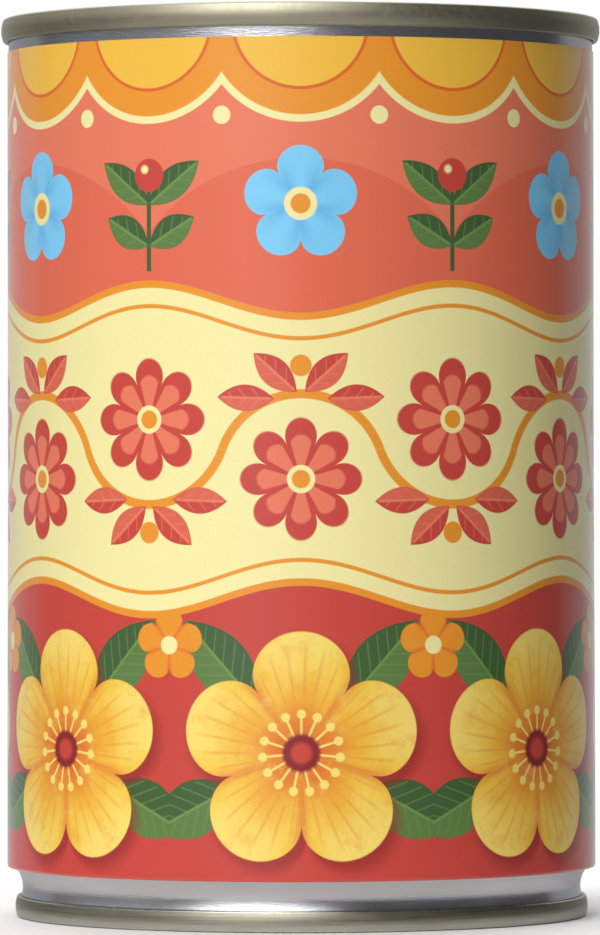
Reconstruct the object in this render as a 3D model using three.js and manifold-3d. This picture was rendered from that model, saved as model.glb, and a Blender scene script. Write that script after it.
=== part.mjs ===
// A sealed three-piece food can with a paper label and a ring-pull lid.
// Millimetres, +Z up. The origin is the middle of the circle that the can stands on, and its front faces -Y.
import * as THREE from "three";
import { mergeVertices } from "three/addons/utils/BufferGeometryUtils.js";
import Module from "manifold-3d";

const wasm = await Module();
wasm.setup();

// The can: outside radii, overall height and sheet thicknesses
const CAN_HEIGHT = 112;
const BODY_RADIUS = 36.5;
const FOOT_RADIUS = 34.87;
const BODY_PLATE = 0.2;
const END_PLATE = 0.22;

// The double seams that hook the ends to the body
const LID_SEAM_HEIGHT = 2.9;
const BASE_SEAM_HEIGHT = 2.65;
const SEAM_GAP = 0.1;
const HOOK_LENGTH = 1.85;
const CROWN_RADIUS = 0.45;

// The neck between the foot and the body wall is two equal arcs
const NECK_START = 3.75;
const NECK_ARC_RADIUS = 3.7;

// The lid: depths below the rim, and radii from the middle outwards
const LID_GROOVE_DEPTH = 5;
const LID_PANEL_DEPTH = 4;
const LID_CENTRE_DEPTH = 4.5;
const LID_GROOVE_WIDTH = 2.1;
const LID_BEND_RADIUS = 0.55;
const LID_WALL_TAPER = 0.1;
const WELL_Y = -6;
const WELL_RADIUS = 10;
const WELL_DEPTH = 0.8;
const WELL_RINGS = 5;
const SCORE_RADIUS = 32.4;
const SCORE_DEPTH = 0.11;
const SCORE_HALF_WIDTH = 0.25;
const CENTRE_RADIUS = 29.6;
const CENTRE_STEP_WIDTH = 0.9;

// The ring-pull lies along Y, its nose just inside the score
const TAB_NOSE_Y = 31.7;
const TAB_LENGTH = 37;
const TAB_THICKNESS = 1.3;
const TAB_LIFT = 0.35;
const TAB_EDGE = 0.45;
const NOSE_RADIUS = 7.6;
const RING_RADIUS = 11.4;
const FINGER_HOLE_RADIUS = 7.9;
const WINDOW_WIDTH = 11;
const WINDOW_LENGTH = 9.4;
const WINDOW_CORNER = 2.4;
const TONGUE_WIDTH = 8;
const TONGUE_PLATE = 0.35;
const RIVET_FROM_NOSE = 7.6;
const RIVET_RADIUS = 1.7;
const RIVET_HEAD_RADIUS = 2.7;
const RIVET_HEAD_HEIGHT = 0.45;
const RIVET_SHOULDER_RADIUS = 3.2;
const RIVET_GAP = 0.15;

// The base: its panel steps up and down in rings, at two heights above the standing plane
const BASE_PANEL_DEPTH = 4;
const BASE_RING_DEPTH = 3.3;
const BASE_BEND_RADIUS = 0.6;
const BASE_STEP_WIDTH = 1.1;
const BASE_STEP_RADII = [20.2, 24.8, 30.6];

// The label: one sheet, lapped over itself at the back
const LABEL_BOTTOM = 6.2;
const LABEL_HEIGHT = 101.6;
const PAPER = 0.1;
const PASTE = 0.05;
const LAP_SEGMENTS = 2;

// The filling stops short of the lid, and stays clear of the metal
const FILL_LEVEL = 100;
const FILL_CLEARANCE = 0.4;

// Every round piece has the same facets, so that thin gaps stay open all the way round
const SEGMENTS = 44;
const BEND_STEPS = 2;
const HOOK_STEPS = 4;
const NECK_STEPS = 3;
const TAB_STEPS = 12;
const RIVET_SEGMENTS = 20;

const point = (r, z) => new THREE.Vector2(r, z);

// Points along a circular bend, from one angle to another
function bend(centre, radius, from, to, steps = BEND_STEPS) {
  return Array.from({ length: steps + 1 }, (_, i) => {
    const angle = from + ((to - from) * i) / steps;
    return point(centre.x + radius * Math.cos(angle), centre.y + radius * Math.sin(angle));
  });
}

// The two faces of a sheet of even thickness whose middle follows a path
function sheetFaces(path, thickness) {
  const faces = { left: [], right: [] };
  path.forEach((here, i) => {
    const before = path[Math.max(i - 1, 0)];
    const after = path[Math.min(i + 1, path.length - 1)];
    const into = (i > 0 ? here.clone().sub(before) : after.clone().sub(here)).normalize();
    const out = (i < path.length - 1 ? after.clone().sub(here) : into.clone()).normalize();
    const normal = point(-into.y - out.y, into.x + out.x).normalize();
    const reach = thickness / 2 / (normal.x * -out.y + normal.y * out.x);
    faces.left.push(here.clone().addScaledVector(normal, reach));
    faces.right.push(here.clone().addScaledVector(normal, -reach));
  });
  return faces;
}

// A profile of radius and height, turned about Z with its first facet edge at the front
function turned(profile, segments = SEGMENTS) {
  return new THREE.LatheGeometry(profile, segments).rotateX(Math.PI / 2);
}

function solid(geometry) {
  const bare = geometry.clone();
  bare.deleteAttribute("normal");
  bare.deleteAttribute("uv");
  const merged = mergeVertices(bare, 1e-4);
  return new wasm.Manifold(
    new wasm.Mesh({
      numProp: 3,
      vertProperties: new Float32Array(merged.attributes.position.array),
      triVerts: new Uint32Array(merged.index.array),
    }),
  );
}

function geometryOf(manifold) {
  const mesh = manifold.getMesh();
  const geometry = new THREE.BufferGeometry();
  geometry.setAttribute("position", new THREE.BufferAttribute(mesh.vertProperties, 3));
  geometry.setIndex(new THREE.BufferAttribute(mesh.triVerts, 1));
  return geometry;
}

// Radii of a seam's layers, all taken from the outside of the body wall that it closes on
function seamLayers(wallRadius) {
  const wall = wallRadius - BODY_PLATE / 2;
  const endHook = wallRadius + SEAM_GAP + END_PLATE / 2;
  const bodyHook = wallRadius + 2 * SEAM_GAP + END_PLATE + BODY_PLATE / 2;
  const skirt = wallRadius + 3 * SEAM_GAP + 1.5 * END_PLATE + BODY_PLATE;
  const chuckWall = wallRadius - BODY_PLATE - SEAM_GAP - END_PLATE / 2;
  return { wall, endHook, bodyHook, skirt, chuckWall };
}

// Middle of the body's sheet where it is hooked over at the top, from the hook's tip to the wall
function bodyHookPath(wallRadius) {
  const { wall, bodyHook } = seamLayers(wallRadius);
  const radius = (bodyHook - wall) / 2;
  const top = CAN_HEIGHT - END_PLATE - SEAM_GAP;
  const centre = point(wall + radius, top - BODY_PLATE / 2 - radius);
  return [point(bodyHook, top - HOOK_LENGTH), ...bend(centre, radius, 0, Math.PI, HOOK_STEPS)];
}

// Middle of an end's sheet round its seam at the top, from the chuck wall to the tip of its hook
function endSeamPath(wallRadius, seamHeight) {
  const { endHook, skirt, chuckWall } = seamLayers(wallRadius);
  const crown = CAN_HEIGHT - END_PLATE / 2 - CROWN_RADIUS;
  const curl = (skirt - endHook) / 2;
  const seamFoot = CAN_HEIGHT - seamHeight;
  const curlCentre = point(endHook + curl, seamFoot + END_PLATE / 2 + curl);
  return [
    ...bend(point(chuckWall + CROWN_RADIUS, crown), CROWN_RADIUS, Math.PI, Math.PI / 2),
    ...bend(point(skirt - CROWN_RADIUS, crown), CROWN_RADIUS, Math.PI / 2, 0),
    ...bend(curlCentre, curl, 0, -Math.PI, HOOK_STEPS),
    point(endHook, seamFoot + HOOK_LENGTH),
  ];
}

const upsideDown = (path) => path.map((p) => point(p.x, CAN_HEIGHT - p.y));

// The neck, from the body wall down to the foot, as two arcs that meet on a slope
function neckPath() {
  const foot = seamLayers(FOOT_RADIUS).wall;
  const wall = seamLayers(BODY_RADIUS).wall;
  const slope = Math.acos(1 - (wall - foot) / 2 / NECK_ARC_RADIUS);
  const top = NECK_START + 2 * NECK_ARC_RADIUS * Math.sin(slope);
  const upper = bend(point(wall - NECK_ARC_RADIUS, top), NECK_ARC_RADIUS, 0, -slope, NECK_STEPS);
  const lowerCentre = point(foot + NECK_ARC_RADIUS, NECK_START);
  const lower = bend(lowerCentre, NECK_ARC_RADIUS, Math.PI - slope, Math.PI, NECK_STEPS);
  return [...upper, ...lower.slice(1)];
}

function canBody() {
  const path = [
    ...bodyHookPath(BODY_RADIUS),
    ...neckPath(),
    ...upsideDown(bodyHookPath(FOOT_RADIUS)).reverse(),
  ];
  const { left, right } = sheetFaces(path, BODY_PLATE);
  return turned([...right, ...left.reverse(), right[0]]);
}

// A disc of sheet, from the middle of its panel out to the tip of its seam
function discSolid(path) {
  const { left, right } = sheetFaces(path, END_PLATE);
  return turned([...right, ...left.reverse()]);
}

// The middle of the lid's sheet at a depth below the rim
const lidLevel = (depth) => CAN_HEIGHT - depth - END_PLATE / 2;

function lidPath() {
  const groove = lidLevel(LID_GROOVE_DEPTH);
  const panel = lidLevel(LID_PANEL_DEPTH);
  const outer = seamLayers(BODY_RADIUS).chuckWall - LID_WALL_TAPER;
  const inner = outer - LID_GROOVE_WIDTH;
  const rise = (panel - groove) / 2;
  const wellReach = WELL_RADIUS - WELL_Y;
  const wellRings = Array.from({ length: WELL_RINGS + 1 }, (_, i) => (wellReach * i) / WELL_RINGS);
  return [
    ...wellRings.map((r) => point(r, lidLevel(LID_CENTRE_DEPTH))),
    point(CENTRE_RADIUS - CENTRE_STEP_WIDTH, lidLevel(LID_CENTRE_DEPTH)),
    point(CENTRE_RADIUS, panel),
    ...bend(point(inner - rise, panel - rise), rise, Math.PI / 2, 0),
    ...bend(point(inner + rise, groove + rise), rise, Math.PI, 1.5 * Math.PI).slice(1),
    ...bend(point(outer - LID_BEND_RADIUS, groove + LID_BEND_RADIUS), LID_BEND_RADIUS, -Math.PI / 2, 0),
    ...endSeamPath(BODY_RADIUS, LID_SEAM_HEIGHT),
  ];
}

// Both faces of the lid sink into a shallow round well, which lets a finger under the ring
function pressWell(lid) {
  const place = lid.attributes.position;
  for (let i = 0; i < place.count; i += 1) {
    const away = Math.hypot(place.getX(i), place.getY(i) - WELL_Y) / WELL_RADIUS;
    const sunk = away < 1 ? WELL_DEPTH * (1 - away * away) ** 2 : 0;
    place.setZ(i, place.getZ(i) - sunk);
  }
  return lid;
}

// The V-shaped score that the lid tears along, as a ring to cut away
function scoreRing() {
  const surface = CAN_HEIGHT - LID_PANEL_DEPTH;
  const tip = point(SCORE_RADIUS, surface - SCORE_DEPTH);
  const wide = 2 * SCORE_HALF_WIDTH;
  const inner = point(SCORE_RADIUS - wide, surface + SCORE_DEPTH);
  const outer = point(SCORE_RADIUS + wide, surface + SCORE_DEPTH);
  return turned([tip, outer, inner, tip]);
}

// Heights of the ring-pull and of the tongue under the rivet's head
const TAB_UNDERSIDE = CAN_HEIGHT - LID_PANEL_DEPTH + TAB_LIFT;
const RIVET_Y = TAB_NOSE_Y - RIVET_FROM_NOSE;
const RIVET_HEAD_UNDERSIDE = TAB_UNDERSIDE + TONGUE_PLATE + RIVET_GAP;

// The rivet is drawn up from the lid's own sheet and spread into a head
function rivet() {
  const root = lidLevel(LID_CENTRE_DEPTH);
  const top = RIVET_HEAD_UNDERSIDE + RIVET_HEAD_HEIGHT;
  const rounding = RIVET_HEAD_HEIGHT / 2;
  const shoulder = TAB_UNDERSIDE - RIVET_GAP;
  const profile = [
    point(0, root),
    point(RIVET_SHOULDER_RADIUS, root),
    point(RIVET_SHOULDER_RADIUS, shoulder),
    point(RIVET_RADIUS, shoulder),
    point(RIVET_RADIUS, RIVET_HEAD_UNDERSIDE),
    point(RIVET_HEAD_RADIUS, RIVET_HEAD_UNDERSIDE),
    point(RIVET_HEAD_RADIUS, top - rounding),
    point(RIVET_HEAD_RADIUS - rounding, top),
    point(0, top),
  ];
  return turned(profile, RIVET_SEGMENTS).translate(0, RIVET_Y, 0);
}

function topEnd() {
  const lid = solid(pressWell(discSolid(lidPath())));
  return geometryOf(lid.subtract(solid(scoreRing())).add(solid(rivet())));
}

function basePath() {
  const panel = CAN_HEIGHT - BASE_PANEL_DEPTH - END_PLATE / 2;
  const ring = CAN_HEIGHT - BASE_RING_DEPTH - END_PLATE / 2;
  const wall = seamLayers(FOOT_RADIUS).chuckWall;
  const steps = BASE_STEP_RADII.flatMap((radius, i) => {
    const [from, to] = i % 2 ? [panel, ring] : [ring, panel];
    return [point(radius - BASE_STEP_WIDTH, from), point(radius, to)];
  });
  return [
    point(0, ring),
    ...steps,
    ...bend(point(wall - BASE_BEND_RADIUS, panel + BASE_BEND_RADIUS), BASE_BEND_RADIUS, -Math.PI / 2, 0),
    ...endSeamPath(FOOT_RADIUS, BASE_SEAM_HEIGHT),
  ];
}

// The base is made as a lid is, seam upwards, and turned over about X
function baseEnd() {
  return discSolid(basePath()).rotateX(Math.PI).translate(0, 0, CAN_HEIGHT);
}

// An egg-shaped outline round two circles on the Y axis, joined by their outer tangents
function eggOutline(lowY, lowRadius, highY, highRadius) {
  const lean = Math.asin((lowRadius - highRadius) / (highY - lowY));
  return new THREE.Shape([
    ...bend(point(0, lowY), lowRadius, Math.PI - lean, 2 * Math.PI + lean, 2 * TAB_STEPS),
    ...bend(point(0, highY), highRadius, lean, Math.PI - lean, TAB_STEPS),
  ]);
}

function roundHole(y, radius, steps) {
  return new THREE.Path(bend(point(0, y), radius, 0, 2 * Math.PI, steps).slice(1));
}

function windowHole(y, width, length, corner) {
  const [halfWidth, halfLength] = [width / 2 - corner, length / 2 - corner];
  const corners = [
    [halfWidth, halfLength],
    [-halfWidth, halfLength],
    [-halfWidth, -halfLength],
    [halfWidth, -halfLength],
  ];
  const quarter = Math.PI / 2;
  return new THREE.Path(
    corners.flatMap(([x, dy], i) => bend(point(x, y + dy), corner, i * quarter, (i + 1) * quarter)),
  );
}

// The tab's curled rim is a thick plate with rounded edges, open for a finger and round the rivet
function tabRim() {
  const ringY = TAB_NOSE_Y - TAB_LENGTH + RING_RADIUS;
  const noseY = TAB_NOSE_Y - NOSE_RADIUS;
  const outline = eggOutline(ringY, RING_RADIUS - TAB_EDGE, noseY, NOSE_RADIUS - TAB_EDGE);
  const [width, length] = [WINDOW_WIDTH + 2 * TAB_EDGE, WINDOW_LENGTH + 2 * TAB_EDGE];
  outline.holes = [
    roundHole(ringY, FINGER_HOLE_RADIUS + TAB_EDGE, 2 * TAB_STEPS),
    windowHole(RIVET_Y, width, length, WINDOW_CORNER),
  ];
  const rim = new THREE.ExtrudeGeometry(outline, {
    depth: TAB_THICKNESS - 2 * TAB_EDGE,
    bevelThickness: TAB_EDGE,
    bevelSize: TAB_EDGE,
    bevelSegments: 2,
  });
  return rim.translate(0, 0, TAB_UNDERSIDE + TAB_EDGE);
}

// The tongue runs back from the nose and ends round the rivet, under its head
function tabTongue() {
  const half = TONGUE_WIDTH / 2;
  const root = RIVET_Y + WINDOW_LENGTH / 2 + TAB_EDGE;
  const tongue = new THREE.Shape([
    point(half, root),
    point(-half, root),
    ...bend(point(0, RIVET_Y), half, Math.PI, 2 * Math.PI, TAB_STEPS),
  ]);
  tongue.holes = [roundHole(RIVET_Y, RIVET_RADIUS + RIVET_GAP, RIVET_SEGMENTS)];
  const plate = new THREE.ExtrudeGeometry(tongue, { depth: TONGUE_PLATE, bevelEnabled: false });
  return plate.translate(0, 0, TAB_UNDERSIDE);
}

function pullTab() {
  return geometryOf(solid(tabRim()).add(solid(tabTongue())));
}

// The label's outline seen from above: a turn and a lap, its free end lifted over its first one
function paperLabel() {
  const step = (2 * Math.PI) / SEGMENTS;
  const first = SEGMENTS / 2 - LAP_SEGMENTS / 2;
  const count = SEGMENTS + LAP_SEGMENTS;
  const at = (i, radius) => {
    const lifted = radius + (i >= SEGMENTS ? PAPER + PASTE : 0);
    const angle = (first + i) * step;
    return point(lifted * Math.sin(angle), -lifted * Math.cos(angle));
  };
  const inside = Array.from({ length: count + 1 }, (_, i) => at(i, BODY_RADIUS + PASTE));
  const outside = Array.from({ length: count + 1 }, (_, i) => at(i, BODY_RADIUS + PASTE + PAPER));
  const outline = new THREE.Shape([...outside, ...inside.reverse()]);
  const sheet = new THREE.ExtrudeGeometry(outline, { depth: LABEL_HEIGHT, bevelEnabled: false });
  return sheet.translate(0, 0, LABEL_BOTTOM);
}

function fruitInSyrup() {
  const inset = BODY_PLATE / 2 + FILL_CLEARANCE;
  const neck = neckPath().map((p) => point(p.x - inset, p.y));
  const floor = BASE_PANEL_DEPTH + END_PLATE + FILL_CLEARANCE;
  const wetted = neck.filter((p) => p.y > floor).reverse();
  const wall = wetted[wetted.length - 1].x;
  const foot = seamLayers(FOOT_RADIUS).chuckWall - END_PLATE / 2 - FILL_CLEARANCE;
  const profile = [
    point(0, floor),
    point(foot, floor),
    ...wetted,
    point(wall, FILL_LEVEL),
    point(0, FILL_LEVEL),
  ];
  return turned(profile);
}

const tinplate = { color: 0xb4b6bc, metalness: 1, roughness: 0.32 };
const lacqueredPlate = { color: 0x9d9780, metalness: 1, roughness: 0.36 };

const pieces = {
  can_body: [canBody(), tinplate],
  top_end: [topEnd(), lacqueredPlate],
  base_end: [baseEnd(), lacqueredPlate],
  pull_tab: [pullTab(), { color: 0xb7b2a2, metalness: 1, roughness: 0.34 }],
  paper_label: [paperLabel(), { color: 0xe8754f, metalness: 0, roughness: 0.42 }],
  fruit_in_syrup: [fruitInSyrup(), { color: 0xe59a3c, metalness: 0, roughness: 0.2 }],
};

const can = new THREE.Group();
for (const [name, [geometry, finish]] of Object.entries(pieces)) {
  const mesh = new THREE.Mesh(geometry, new THREE.MeshStandardMaterial(finish));
  mesh.name = name;
  can.add(mesh);
}

export default can;
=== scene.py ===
# Dresses the food can: fine sheet-metal pieces, a printed paper label, a plain studio and the camera.
import math

import bmesh
import bpy
import numpy as np
from mathutils import Euler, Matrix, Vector
from mathutils.geometry import delaunay_2d_cdt


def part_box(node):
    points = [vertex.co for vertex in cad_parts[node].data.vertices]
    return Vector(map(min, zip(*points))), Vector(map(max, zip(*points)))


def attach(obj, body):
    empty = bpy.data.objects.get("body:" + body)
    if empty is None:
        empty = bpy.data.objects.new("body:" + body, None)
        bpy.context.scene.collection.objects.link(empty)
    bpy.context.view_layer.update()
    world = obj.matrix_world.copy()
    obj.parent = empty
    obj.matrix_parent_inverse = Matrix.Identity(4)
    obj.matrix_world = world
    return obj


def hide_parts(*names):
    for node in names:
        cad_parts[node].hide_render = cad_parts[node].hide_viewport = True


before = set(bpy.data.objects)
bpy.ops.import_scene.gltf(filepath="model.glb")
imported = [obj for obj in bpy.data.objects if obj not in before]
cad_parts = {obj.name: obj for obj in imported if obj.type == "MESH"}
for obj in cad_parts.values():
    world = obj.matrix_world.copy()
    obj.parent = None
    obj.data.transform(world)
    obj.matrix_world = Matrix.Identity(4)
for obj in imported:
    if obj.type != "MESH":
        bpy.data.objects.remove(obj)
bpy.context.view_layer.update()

# Lengths below are in millimetres, and meshes are made in metres
MM = 0.001


def node_box(node):
    """Lowest and highest corner of a node, in millimetres."""
    return [[value / MM for value in corner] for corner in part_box(node)]


# Sheets of metal and paper
BODY_PLATE = 0.2
END_PLATE = 0.22
PAPER = 0.1
PASTE = 0.05

# The double seams: how far one stands out from its wall, and how tightly its layers are pressed
SEAM_BUILD = 0.94
LID_SEAM_HEIGHT = 2.9
BASE_SEAM_HEIGHT = 2.65
SEAM_GAP = 0.02
HOOK_LENGTH = 1.85
CROWN_BEND = 0.42
CURL_BEND = 0.21
SKIRT_BARREL = 3.2
SKIRT_LEAN = math.radians(21)
CHUCK_WALL_GAP = 0.1
CHUCK_WALL_INSET = BODY_PLATE + CHUCK_WALL_GAP + END_PLATE / 2

# The can's outside sizes, from the frame
CAN_HEIGHT = node_box("top_end")[1][2]
BODY_RADIUS = node_box("top_end")[1][0] - SEAM_BUILD
FOOT_RADIUS = node_box("base_end")[1][0] - SEAM_BUILD
LABEL_BOTTOM = node_box("paper_label")[0][2]
LABEL_TOP = node_box("paper_label")[1][2]
LABEL_RADIUS = node_box("paper_label")[1][0]
TAB_LOW, TAB_HIGH = node_box("pull_tab")

# The neck. Below it the foot leans out to its seam, then tucks in to pass behind the seam's hook
NECK_START = 3.75
NECK_BEND = 3.7
FOOT_FLARE = math.radians(17)
FOOT_TUCK = 0.18
FOOT_TUCK_BEND = 0.2

# The weld down the back of the body, with its sloping edges and finer division in half widths
WELD_HALF_WIDTH = 0.55
WELD_HEIGHT = 0.05
WELD_EDGE = (0.6, 1.4)
WELD_REACH = 3
WELD_STEPS = 12

# The lid: depths below the rim, and radii from the middle outwards
LID_GROOVE_DEPTH = 5
LID_PANEL_DEPTH = 4
LID_CENTRE_DEPTH = 4.5
LID_GROOVE_WIDTH = 2.1
LID_BEND = 0.5
LID_WALL_TAPER = 0.1
CENTRE_RADIUS = 29.6
CENTRE_STEP_WIDTH = 0.9
SCORE_RADIUS = 32.4
SCORE_DEPTH = 0.11
SCORE_HALF_WIDTH = 0.25
WELL_Y = -6
WELL_RADIUS = 10
WELL_DEPTH = 0.8

# The ring-pull: a round curled rim, which sinks to a flat web where the plate is wide
NOSE_RADIUS = 7.6
RING_RADIUS = TAB_HIGH[0]
FINGER_HOLE_RADIUS = 7.9
WINDOW_WIDTH = 11
WINDOW_LENGTH = 9.4
WINDOW_CORNER = 2.4
TAB_RIM_STEPS = 6
TAB_WEB_FROM = (1.75, 2.5)
TAB_WEB_TOP = 0.1
TAB_INSETS = (1, 1.4, 1.75, 2.1, 2.5)

# The ring-pull's tongue
TONGUE_WIDTH = 8
TONGUE_REACH = 3
TONGUE_PLATE = 0.35
TONGUE_MIDDLE = TAB_LOW[2] + TONGUE_PLATE
TONGUE_RIM_STEPS = 3
TONGUE_INSETS = (0.7, 1.2)

# The rivet
RIVET_FROM_NOSE = 7.6
RIVET_Y = TAB_HIGH[1] - RIVET_FROM_NOSE
RIVET_RADIUS = 1.7
RIVET_GAP = 0.15
RIVET_BEND = 0.1
RIVET_SHOULDER_RADIUS = 3.2
RIVET_SHOULDER_SPREAD = 0.5
RIVET_SHOULDER_BEND = 0.2
RIVET_HEAD_RADIUS = 2.7
RIVET_HEAD_HEIGHT = 0.45
RIVET_HEAD_DRAFT = 0.1
RIVET_HEAD_BENDS = (0.12, 0.25)
RIVET_DIMPLE_BEND = 0.3

# The base: its panel steps up and down in rings
BASE_PANEL_DEPTH = 4
BASE_RING_DEPTH = 3.3
BASE_BEND = 0.6
BASE_STEP_WIDTH = 1.1
BASE_STEP_RADII = (20.2, 24.8, 30.6)

# The label: its lap at the back, and how its lower edge stands off the neck and turns in
LAP_HALF_ANGLE = 180 / 22
LAP_RAMP_ANGLE = 5
LABEL_FLARE = 0.12
LABEL_FLARE_FROM = 60
LABEL_FLARE_TO = 15
LABEL_TURN_IN = 0.1
LABEL_TURN_HEIGHT = 0.35

# The paper's slight cockle: its depth, and the share, number round the can and lean of each wave
COCKLE = 0.012
COCKLE_WAVES = ((1, 7, 40), (0.6, 17, -23))

# How finely pieces are divided, and the angle past which an edge is crisp
TURN_STEPS = 192
RIVET_STEPS = 48
LABEL_STEPS = 240
LABEL_ROWS = 50
LABEL_TURN_ROWS = 7
BODY_SPACING = 4
LID_SPACING = 0.8
BASE_SPACING = 1.6
RIVET_SPACING = 0.5
PLATE_SPACING = 0.5
ARC_STEPS = 160
BEND_STEP_ANGLE = math.radians(15)
SMOOTH_ANGLE = math.radians(38)

# Lengths that count as nothing, and as lying on a plate's edge
TINY = 1e-6
EDGE_SLACK = 0.008

# The floor of the studio
FLOOR_RADIUS = 160
FLOOR_FADE = (37, 76)
FLOOR_THICKNESS = 20
FLOOR_FIRST_RING = 20
FLOOR_RINGS = 24
FLOOR_STEPS = 96


# Paths and outlines in a section of the can: radius and height

def rounded(corners, spacing):
    """A path through corners of (radius, height, bend), each corner rounded by its bend, with points
    no further apart than the spacing on straight stretches."""
    places = [np.array(corner[:2], float) for corner in corners]
    stops = [[places[0]]]
    for before, here, after, corner in zip(places, places[1:], places[2:], corners[1:]):
        into = (here - before) / np.linalg.norm(here - before)
        out = (after - here) / np.linalg.norm(after - here)
        turn = math.atan2(into[0] * out[1] - into[1] * out[0], into @ out)
        bend = corner[2]
        start = here - into * bend * math.tan(abs(turn) / 2)
        side = np.array([-into[1], into[0]]) * math.copysign(1, turn)
        centre = start + side * bend
        steps = max(1, math.ceil(abs(turn) / BEND_STEP_ANGLE)) if bend else 0
        sweep = np.linspace(0, abs(turn), steps + 1)
        stops.append([centre + bend * (into * math.sin(a) - side * math.cos(a)) for a in sweep])
    stops.append([places[-1]])
    path = []
    for bent, following in zip(stops, stops[1:]):
        gap = following[0] - bent[-1]
        length = np.linalg.norm(gap)
        path += bent if length > TINY else bent[:-1]
        pieces = math.ceil(length / spacing)
        path += [bent[-1] + gap * i / pieces for i in range(1, pieces)]
    return np.array(path + stops[-1])


def sheet_faces(path, thickness):
    """The two faces of a sheet of even thickness whose middle follows a path."""
    ahead = np.gradient(path, axis=0)
    ahead /= np.linalg.norm(ahead, axis=1, keepdims=True)
    normal = np.column_stack([-ahead[:, 1], ahead[:, 0]])
    return path + normal * thickness / 2, path - normal * thickness / 2


def upside_down(corners):
    return [(radius, CAN_HEIGHT - height, bend) for radius, height, bend in corners]


def end_seam(wall_radius, seam_height):
    """Corners of an end's sheet round its seam at the top, from the crown to the tip of its hook."""
    chuck_wall = wall_radius - CHUCK_WALL_INSET
    crown = CAN_HEIGHT - END_PLATE / 2
    foot = CAN_HEIGHT - seam_height + END_PLATE / 2
    middle = (crown + foot) / 2
    bulge = wall_radius + SEAM_BUILD - END_PLATE / 2
    apex = bulge + SKIRT_BARREL * (1 / math.cos(SKIRT_LEAN) - 1)
    drawn_in = apex - (crown - middle) * math.tan(SKIRT_LEAN)
    hook = wall_radius + SEAM_GAP + END_PLATE / 2
    return [
        (chuck_wall, crown, CROWN_BEND),
        (drawn_in, crown, CROWN_BEND),
        (apex, middle, SKIRT_BARREL),
        (drawn_in, foot, CURL_BEND),
        (hook, foot, CURL_BEND),
        (hook, foot + HOOK_LENGTH - END_PLATE / 2, 0),
    ]


def body_hook(wall_radius):
    """Corners of the body's sheet at the top, from the tip of its hook to the wall."""
    hook = wall_radius + 2 * SEAM_GAP + END_PLATE + BODY_PLATE / 2
    wall = wall_radius - BODY_PLATE / 2
    top = CAN_HEIGHT - END_PLATE - SEAM_GAP - BODY_PLATE / 2
    bend = (hook - wall) / 2
    tip = top + BODY_PLATE / 2 - HOOK_LENGTH
    return [(hook, tip, 0), (hook, top, bend), (wall, top, bend)]


def body_corners():
    """Corners of the body's sheet, from its hook at the top to its hook at the foot. The neck is two
    arcs, and the lower one goes on below the narrowest place, so the foot leans out to its seam."""
    wall = BODY_RADIUS - BODY_PLATE / 2
    foot = FOOT_RADIUS - BODY_PLATE / 2
    slope = math.acos(1 - (wall - foot) / 2 / NECK_BEND)
    neck_top = NECK_START + 2 * NECK_BEND * math.sin(slope)
    reach = NECK_BEND * math.tan(slope / 2)
    corner = NECK_BEND / math.cos((slope + FOOT_FLARE) / 2)
    middle = (slope - FOOT_FLARE) / 2
    flare_end = foot + NECK_BEND * (1 - math.cos(FOOT_FLARE))
    neck = [
        (wall, neck_top - reach, NECK_BEND),
        (foot + NECK_BEND - corner * math.cos(middle), NECK_START + corner * math.sin(middle), NECK_BEND),
        (flare_end, NECK_START - NECK_BEND * math.sin(FOOT_FLARE), 0),
        (foot, BASE_SEAM_HEIGHT - FOOT_TUCK, FOOT_TUCK_BEND),
    ]
    return body_hook(BODY_RADIUS) + neck + upside_down(body_hook(FOOT_RADIUS))[::-1]


def lid_level(depth):
    """Height of the middle of the lid's sheet at a depth below the rim."""
    return CAN_HEIGHT - depth - END_PLATE / 2


def lid_corners():
    """Corners of the lid's sheet, from its middle to the tip of its hook."""
    centre = lid_level(LID_CENTRE_DEPTH)
    panel = lid_level(LID_PANEL_DEPTH)
    groove = lid_level(LID_GROOVE_DEPTH)
    outer = BODY_RADIUS - CHUCK_WALL_INSET - LID_WALL_TAPER
    inner = outer - LID_GROOVE_WIDTH
    return [
        (0, centre, 0),
        (CENTRE_RADIUS - CENTRE_STEP_WIDTH, centre, LID_BEND),
        (CENTRE_RADIUS, panel, LID_BEND),
        *[(SCORE_RADIUS + side * SCORE_HALF_WIDTH, panel, 0) for side in (-1, 0, 1)],
        (inner, panel, LID_BEND),
        (inner, groove, LID_BEND),
        (outer, groove, LID_BEND),
        *end_seam(BODY_RADIUS, LID_SEAM_HEIGHT),
    ]


def base_corners():
    """Corners of the base's sheet, made seam upwards as a lid is."""
    panel = CAN_HEIGHT - BASE_PANEL_DEPTH - END_PLATE / 2
    ring = CAN_HEIGHT - BASE_RING_DEPTH - END_PLATE / 2
    wall = FOOT_RADIUS - CHUCK_WALL_INSET
    corners = [(0, ring, 0)]
    levels = [ring, panel]
    for radius in BASE_STEP_RADII:
        corners += [(radius - BASE_STEP_WIDTH, levels[0], BASE_BEND), (radius, levels[1], BASE_BEND)]
        levels.reverse()
    return corners + [(wall, panel, BASE_BEND)] + end_seam(FOOT_RADIUS, BASE_SEAM_HEIGHT)


# Meshes

def turned(outline, angles):
    """Vertices and faces of a closed outline of radius and height, turned about the can's axis.
    Angles are in radians from the front, towards +X."""
    count = len(angles)
    vertices = []
    rows = []
    for radius, height in outline:
        first = len(vertices)
        if radius < TINY:
            vertices.append((0, 0, height))
            rows.append([first] * count)
        else:
            vertices += [(radius * math.sin(a), -radius * math.cos(a), height) for a in angles]
            rows.append(range(first, first + count))
    faces = []
    for row, after in zip(rows, rows[1:] + rows[:1]):
        for i in range(count):
            j = (i + 1) % count
            corners = dict.fromkeys((row[i], row[j], after[j], after[i]))
            if len(corners) > 2:
                faces.append(tuple(corners))
    return np.array(vertices, float), faces


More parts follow.
